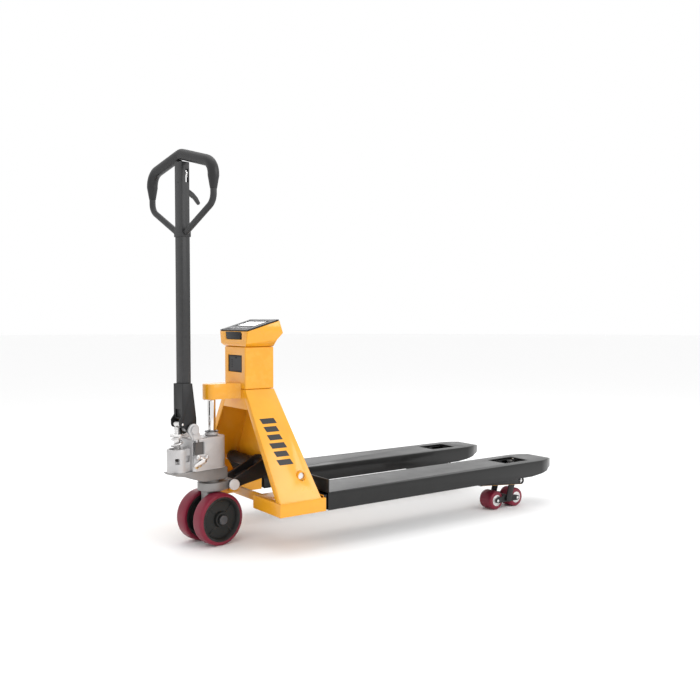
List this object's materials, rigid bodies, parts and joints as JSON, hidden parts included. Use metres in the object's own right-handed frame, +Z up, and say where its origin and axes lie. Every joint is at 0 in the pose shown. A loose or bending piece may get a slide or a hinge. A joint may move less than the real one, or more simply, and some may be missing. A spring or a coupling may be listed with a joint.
{
  "type": "pallet scale",
  "caption": "Hand pallet truck with a weighing scale: two forks on load cells, yellow frame with a sloped indicator head, pump, steering wheels and a loop-handled drawbar.",
  "frame": {"origin": "bottom centre of the whole truck's bounding box, on the floor", "axes": "+X towards the fork tips, +Y to the truck's left, +Z up; the forks are raised and the drawbar is steered 10 degrees"},
  "size_m": [1.6592, 0.622, 1.3405],
  "materials": {
    "yellow_paint": "gloss",
    "black_paint": "satin",
    "black_plastic": "satin",
    "grey_plastic": "satin",
    "cast_metal": "satin",
    "steel": "satin",
    "chrome": "polished",
    "red_tread": "satin",
    "glass": "gloss"
  },
  "bodies": {
    "chassis": {"frame_leg_left": "yellow_paint", "frame_leg_right": "yellow_paint", "frame_front_plate": "yellow_paint", "frame_rear_bridge": "yellow_paint", "frame_crossbar": "yellow_paint", "horn_bracket": "yellow_paint", "piston_rod": "chrome", "column_housing": "yellow_paint", "head_housing": "yellow_paint", "indicator_panel": "grey_plastic", "display_window": "glass", "display_module": "grey_plastic", "fork_beam_left": "yellow_paint", "fork_beam_right": "yellow_paint", "fork_cover_left": "black_paint", "fork_cover_right": "black_paint", "load_cell_left_front": "steel", "load_cell_left_rear": "steel", "load_cell_right_front": "steel", "load_cell_right_rear": "steel"},
    "battery": {"battery_pack": "black_plastic"},
    "key_1": {"key_1": "black_plastic"},
    "key_2": {"key_2": "black_plastic"},
    "key_3": {"key_3": "black_plastic"},
    "key_4": {"key_4": "black_plastic"},
    "rocker": {"rocker": "black_paint"},
    "lift_block": {"bearing_block": "cast_metal", "cross_shaft": "steel"},
    "steering_unit": {"pump_body": "cast_metal", "pump_base": "cast_metal", "pump_cylinder": "cast_metal", "rod_gland": "cast_metal", "wheel_yoke": "cast_metal", "wheel_axle": "steel", "drawbar_pin": "steel"},
    "plunger": {"pump_plunger": "steel", "plunger_spring": "steel"},
    "valve_lever": {"valve_lever": "steel"},
    "drawbar": {"drawbar_tube": "black_paint", "drawbar_foot": "black_paint", "handle_frame": "black_paint", "handle_grip": "black_plastic"},
    "cam_roller": {"cam_roller": "steel"},
    "handle_lever": {"handle_lever": "black_plastic"},
    "control_rod": {"control_rod": "steel"},
    "push_rod_right": {"push_rod_right": "steel"},
    "load_arm_right": {"load_arm_right": "black_paint"},
    "bogie_right": {"bogie_right": "black_paint"},
    "load_roller_right_rear": {"load_roller_right_rear": "red_tread"},
    "load_roller_right_front": {"load_roller_right_front": "red_tread"},
    "steer_wheel_right": {"steer_tyre_right": "red_tread", "steer_core_right": "black_plastic"},
    "push_rod_left": {"push_rod_left": "steel"},
    "load_arm_left": {"load_arm_left": "black_paint"},
    "bogie_left": {"bogie_left": "black_paint"},
    "load_roller_left_rear": {"load_roller_left_rear": "red_tread"},
    "load_roller_left_front": {"load_roller_left_front": "red_tread"},
    "steer_wheel_left": {"steer_tyre_left": "red_tread", "steer_core_left": "black_plastic"}
  },
  "joints": [
    {"name": "lift_slide", "type": "slide", "parent": "chassis", "child": "lift_block", "axis": [0, 0, 1], "range_m": [0, 0.105]},
    {"name": "steering", "type": "hinge", "parent": "lift_block", "child": "steering_unit", "pos_m": [-0.65038, 0, 0.2], "axis": [0, 0, 1], "range_deg": [-100, 80]},
    {"name": "rocker_swing", "type": "hinge", "parent": "chassis", "child": "rocker", "pos_m": [-0.44838, 0, 0.248], "axis": [0, 1, 0], "range_deg": [-0.5, 41.58]},
    {"name": "push_rod_right_pivot", "type": "hinge", "parent": "rocker", "child": "push_rod_right", "pos_m": [-0.41681, -0.2195, 0.16372], "axis": [0, 1, 0], "range_deg": [-42.26, 0.5]},
    {"name": "load_arm_right_pivot", "type": "hinge", "parent": "chassis", "child": "load_arm_right", "pos_m": [0.59162, -0.2195, 0.166], "axis": [0, 1, 0], "range_deg": [-0.5, 66.38]},
    {"name": "bogie_right_pivot", "type": "hinge", "parent": "load_arm_right", "child": "bogie_right", "pos_m": [0.55561, -0.2195, 0.044], "axis": [0, 1, 0], "range_deg": [-66.38, 0.5]},
    {"name": "load_roller_right_rear_spin", "type": "hinge", "parent": "bogie_right", "child": "load_roller_right_rear", "pos_m": [0.49861, -0.2195, 0.038], "axis": [0, 1, 0], "continuous": true},
    {"name": "load_roller_right_front_spin", "type": "hinge", "parent": "bogie_right", "child": "load_roller_right_front", "pos_m": [0.61262, -0.2195, 0.038], "axis": [0, 1, 0], "continuous": true},
    {"name": "steer_wheel_right_spin", "type": "hinge", "parent": "steering_unit", "child": "steer_wheel_right", "pos_m": [-0.65181, -0.0495, 0.09], "axis": [-0.1736, 0.9848, 0], "continuous": true},
    {"name": "push_rod_left_pivot", "type": "hinge", "parent": "rocker", "child": "push_rod_left", "pos_m": [-0.41681, 0.2195, 0.16372], "axis": [0, 1, 0], "range_deg": [-42.26, 0.5]},
    {"name": "load_arm_left_pivot", "type": "hinge", "parent": "chassis", "child": "load_arm_left", "pos_m": [0.59162, 0.2195, 0.166], "axis": [0, 1, 0], "range_deg": [-0.5, 66.38]},
    {"name": "bogie_left_pivot", "type": "hinge", "parent": "load_arm_left", "child": "bogie_left", "pos_m": [0.55561, 0.2195, 0.044], "axis": [0, 1, 0], "range_deg": [-66.38, 0.5]},
    {"name": "load_roller_left_rear_spin", "type": "hinge", "parent": "bogie_left", "child": "load_roller_left_rear", "pos_m": [0.49861, 0.2195, 0.038], "axis": [0, 1, 0], "continuous": true},
    {"name": "load_roller_left_front_spin", "type": "hinge", "parent": "bogie_left", "child": "load_roller_left_front", "pos_m": [0.61262, 0.2195, 0.038], "axis": [0, 1, 0], "continuous": true},
    {"name": "steer_wheel_left_spin", "type": "hinge", "parent": "steering_unit", "child": "steer_wheel_left", "pos_m": [-0.66865, 0.04603, 0.09], "axis": [-0.1736, 0.9848, 0], "continuous": true},
    {"name": "drawbar_tilt", "type": "hinge", "parent": "steering_unit", "child": "drawbar", "pos_m": [-0.74788, -0.01719, 0.403], "axis": [0.1736, -0.9848, 0], "range_deg": [0, 70], "stiffness_Nm_per_rad": 30, "springref_deg": -14.32},
    {"name": "plunger_slide", "type": "slide", "parent": "steering_unit", "child": "plunger", "axis": [0, 0, -1], "range_m": [-0.0005, 0.05], "deforming": ["plunger_spring"]},
    {"name": "cam_roller_spin", "type": "hinge", "parent": "drawbar", "child": "cam_roller", "pos_m": [-0.78432, -0.02362, 0.424], "axis": [-0.1736, 0.9848, 0], "continuous": true},
    {"name": "lever_pivot", "type": "hinge", "parent": "drawbar", "child": "handle_lever", "pos_m": [-0.7528, -0.01806, 1.204], "axis": [0.1736, -0.9848, 0], "range_deg": [-10, 15], "stiffness_Nm_per_rad": 1.5},
    {"name": "control_rod_slide", "type": "slide", "parent": "drawbar", "child": "control_rod", "axis": [0, 0, -1], "range_m": [-0.003, 0.0043]},
    {"name": "valve_lever_pivot", "type": "hinge", "parent": "steering_unit", "child": "valve_lever", "pos_m": [-0.71538, -0.01146, 0.297], "axis": [0.1736, -0.9848, 0], "range_deg": [-11, 16]},
    {"name": "key_1_press", "type": "slide", "parent": "chassis", "child": "key_1", "axis": [0.2846, 0, -0.9586], "range_m": [0, 0.0012], "stiffness_N_per_m": 500, "springref_m": -0.0004},
    {"name": "key_2_press", "type": "slide", "parent": "chassis", "child": "key_2", "axis": [0.2846, 0, -0.9586], "range_m": [0, 0.0012], "stiffness_N_per_m": 500, "springref_m": -0.0004},
    {"name": "key_3_press", "type": "slide", "parent": "chassis", "child": "key_3", "axis": [0.2846, 0, -0.9586], "range_m": [0, 0.0012], "stiffness_N_per_m": 500, "springref_m": -0.0004},
    {"name": "key_4_press", "type": "slide", "parent": "chassis", "child": "key_4", "axis": [0.2846, 0, -0.9586], "range_m": [0, 0.0012], "stiffness_N_per_m": 500, "springref_m": -0.0004},
    {"name": "battery_slide", "type": "slide", "parent": "chassis", "child": "battery", "axis": [-1, 0, 0], "range_m": [0, 0.07]}
  ],
  "couplings": [
    {"joint": "rocker_swing", "follows": "lift_slide", "rad_per_m": 6.8281},
    {"joint": "push_rod_right_pivot", "follows": "lift_slide", "rad_per_m": -6.9406},
    {"joint": "load_arm_right_pivot", "follows": "lift_slide", "rad_per_m": 10.951},
    {"joint": "bogie_right_pivot", "follows": "lift_slide", "rad_per_m": -10.951},
    {"joint": "push_rod_left_pivot", "follows": "lift_slide", "rad_per_m": -6.9406},
    {"joint": "load_arm_left_pivot", "follows": "lift_slide", "rad_per_m": 10.951},
    {"joint": "bogie_left_pivot", "follows": "lift_slide", "rad_per_m": -10.951},
    {"joint": "plunger_slide", "follows": "drawbar_tilt", "m_per_rad": 0.040516},
    {"joint": "control_rod_slide", "follows": "lever_pivot", "m_per_rad": 0.015279},
    {"joint": "valve_lever_pivot", "follows": "lever_pivot", "ratio": 1}
  ]
}
